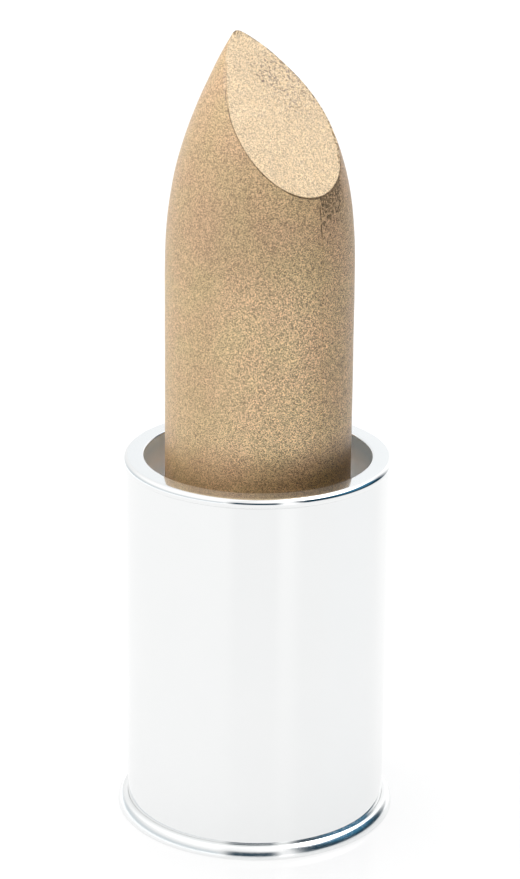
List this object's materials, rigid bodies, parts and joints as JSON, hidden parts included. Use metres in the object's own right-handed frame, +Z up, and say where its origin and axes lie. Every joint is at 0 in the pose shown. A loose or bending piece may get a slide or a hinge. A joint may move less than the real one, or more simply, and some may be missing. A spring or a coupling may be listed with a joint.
{
  "type": "lipstick case",
  "caption": "Twist-up lipstick in a mirror-polished metal case with a hemmed foot; turning the foot against the shell raises or lowers the slant-cut bullet. No cap.",
  "frame": {"origin": "centre of the face the foot stands on", "axes": "+Z up along the case's axis to the bullet's tip; the bullet's slanted flat faces -Y"},
  "size_m": [0.0184, 0.0184, 0.0521],
  "materials": {
    "polished_metal": "mirror-polished, bright anodised",
    "lipstick": "satin wax with a fine pearl shimmer",
    "cup_plastic": "moulded, satin",
    "tube_plastic": "moulded, satin",
    "sleeve_plastic": "moulded, satin",
    "insert_plastic": "moulded, satin",
    "silicone": "soft, greased",
    "steel": "stamped, zinc-plated",
    "label": "blank, matt"
  },
  "bodies": {
    "base": {"foot_shell": "polished_metal", "base_insert": "insert_plastic", "slotted_tube": "tube_plastic", "drag_ring": "silicone", "base_weight": "steel", "bottom_label": "label"},
    "shell": {"outer_shell": "polished_metal", "spiral_sleeve": "sleeve_plastic"},
    "cup": {"bullet_cup": "cup_plastic", "bullet": "lipstick"}
  },
  "joints": [
    {"name": "shell_turn", "type": "hinge", "parent": "base", "child": "shell", "pos_m": [0, 0, 0], "axis": [0, 0, 1], "range_deg": [0, 360]},
    {"name": "cup_slide", "type": "slide", "parent": "base", "child": "cup", "axis": [0, 0, 1], "range_m": [-0.013, 0]}
  ],
  "couplings": [
    {"joint": "shell_turn", "follows": "cup_slide", "rad_per_m": -483.3}
  ]
}
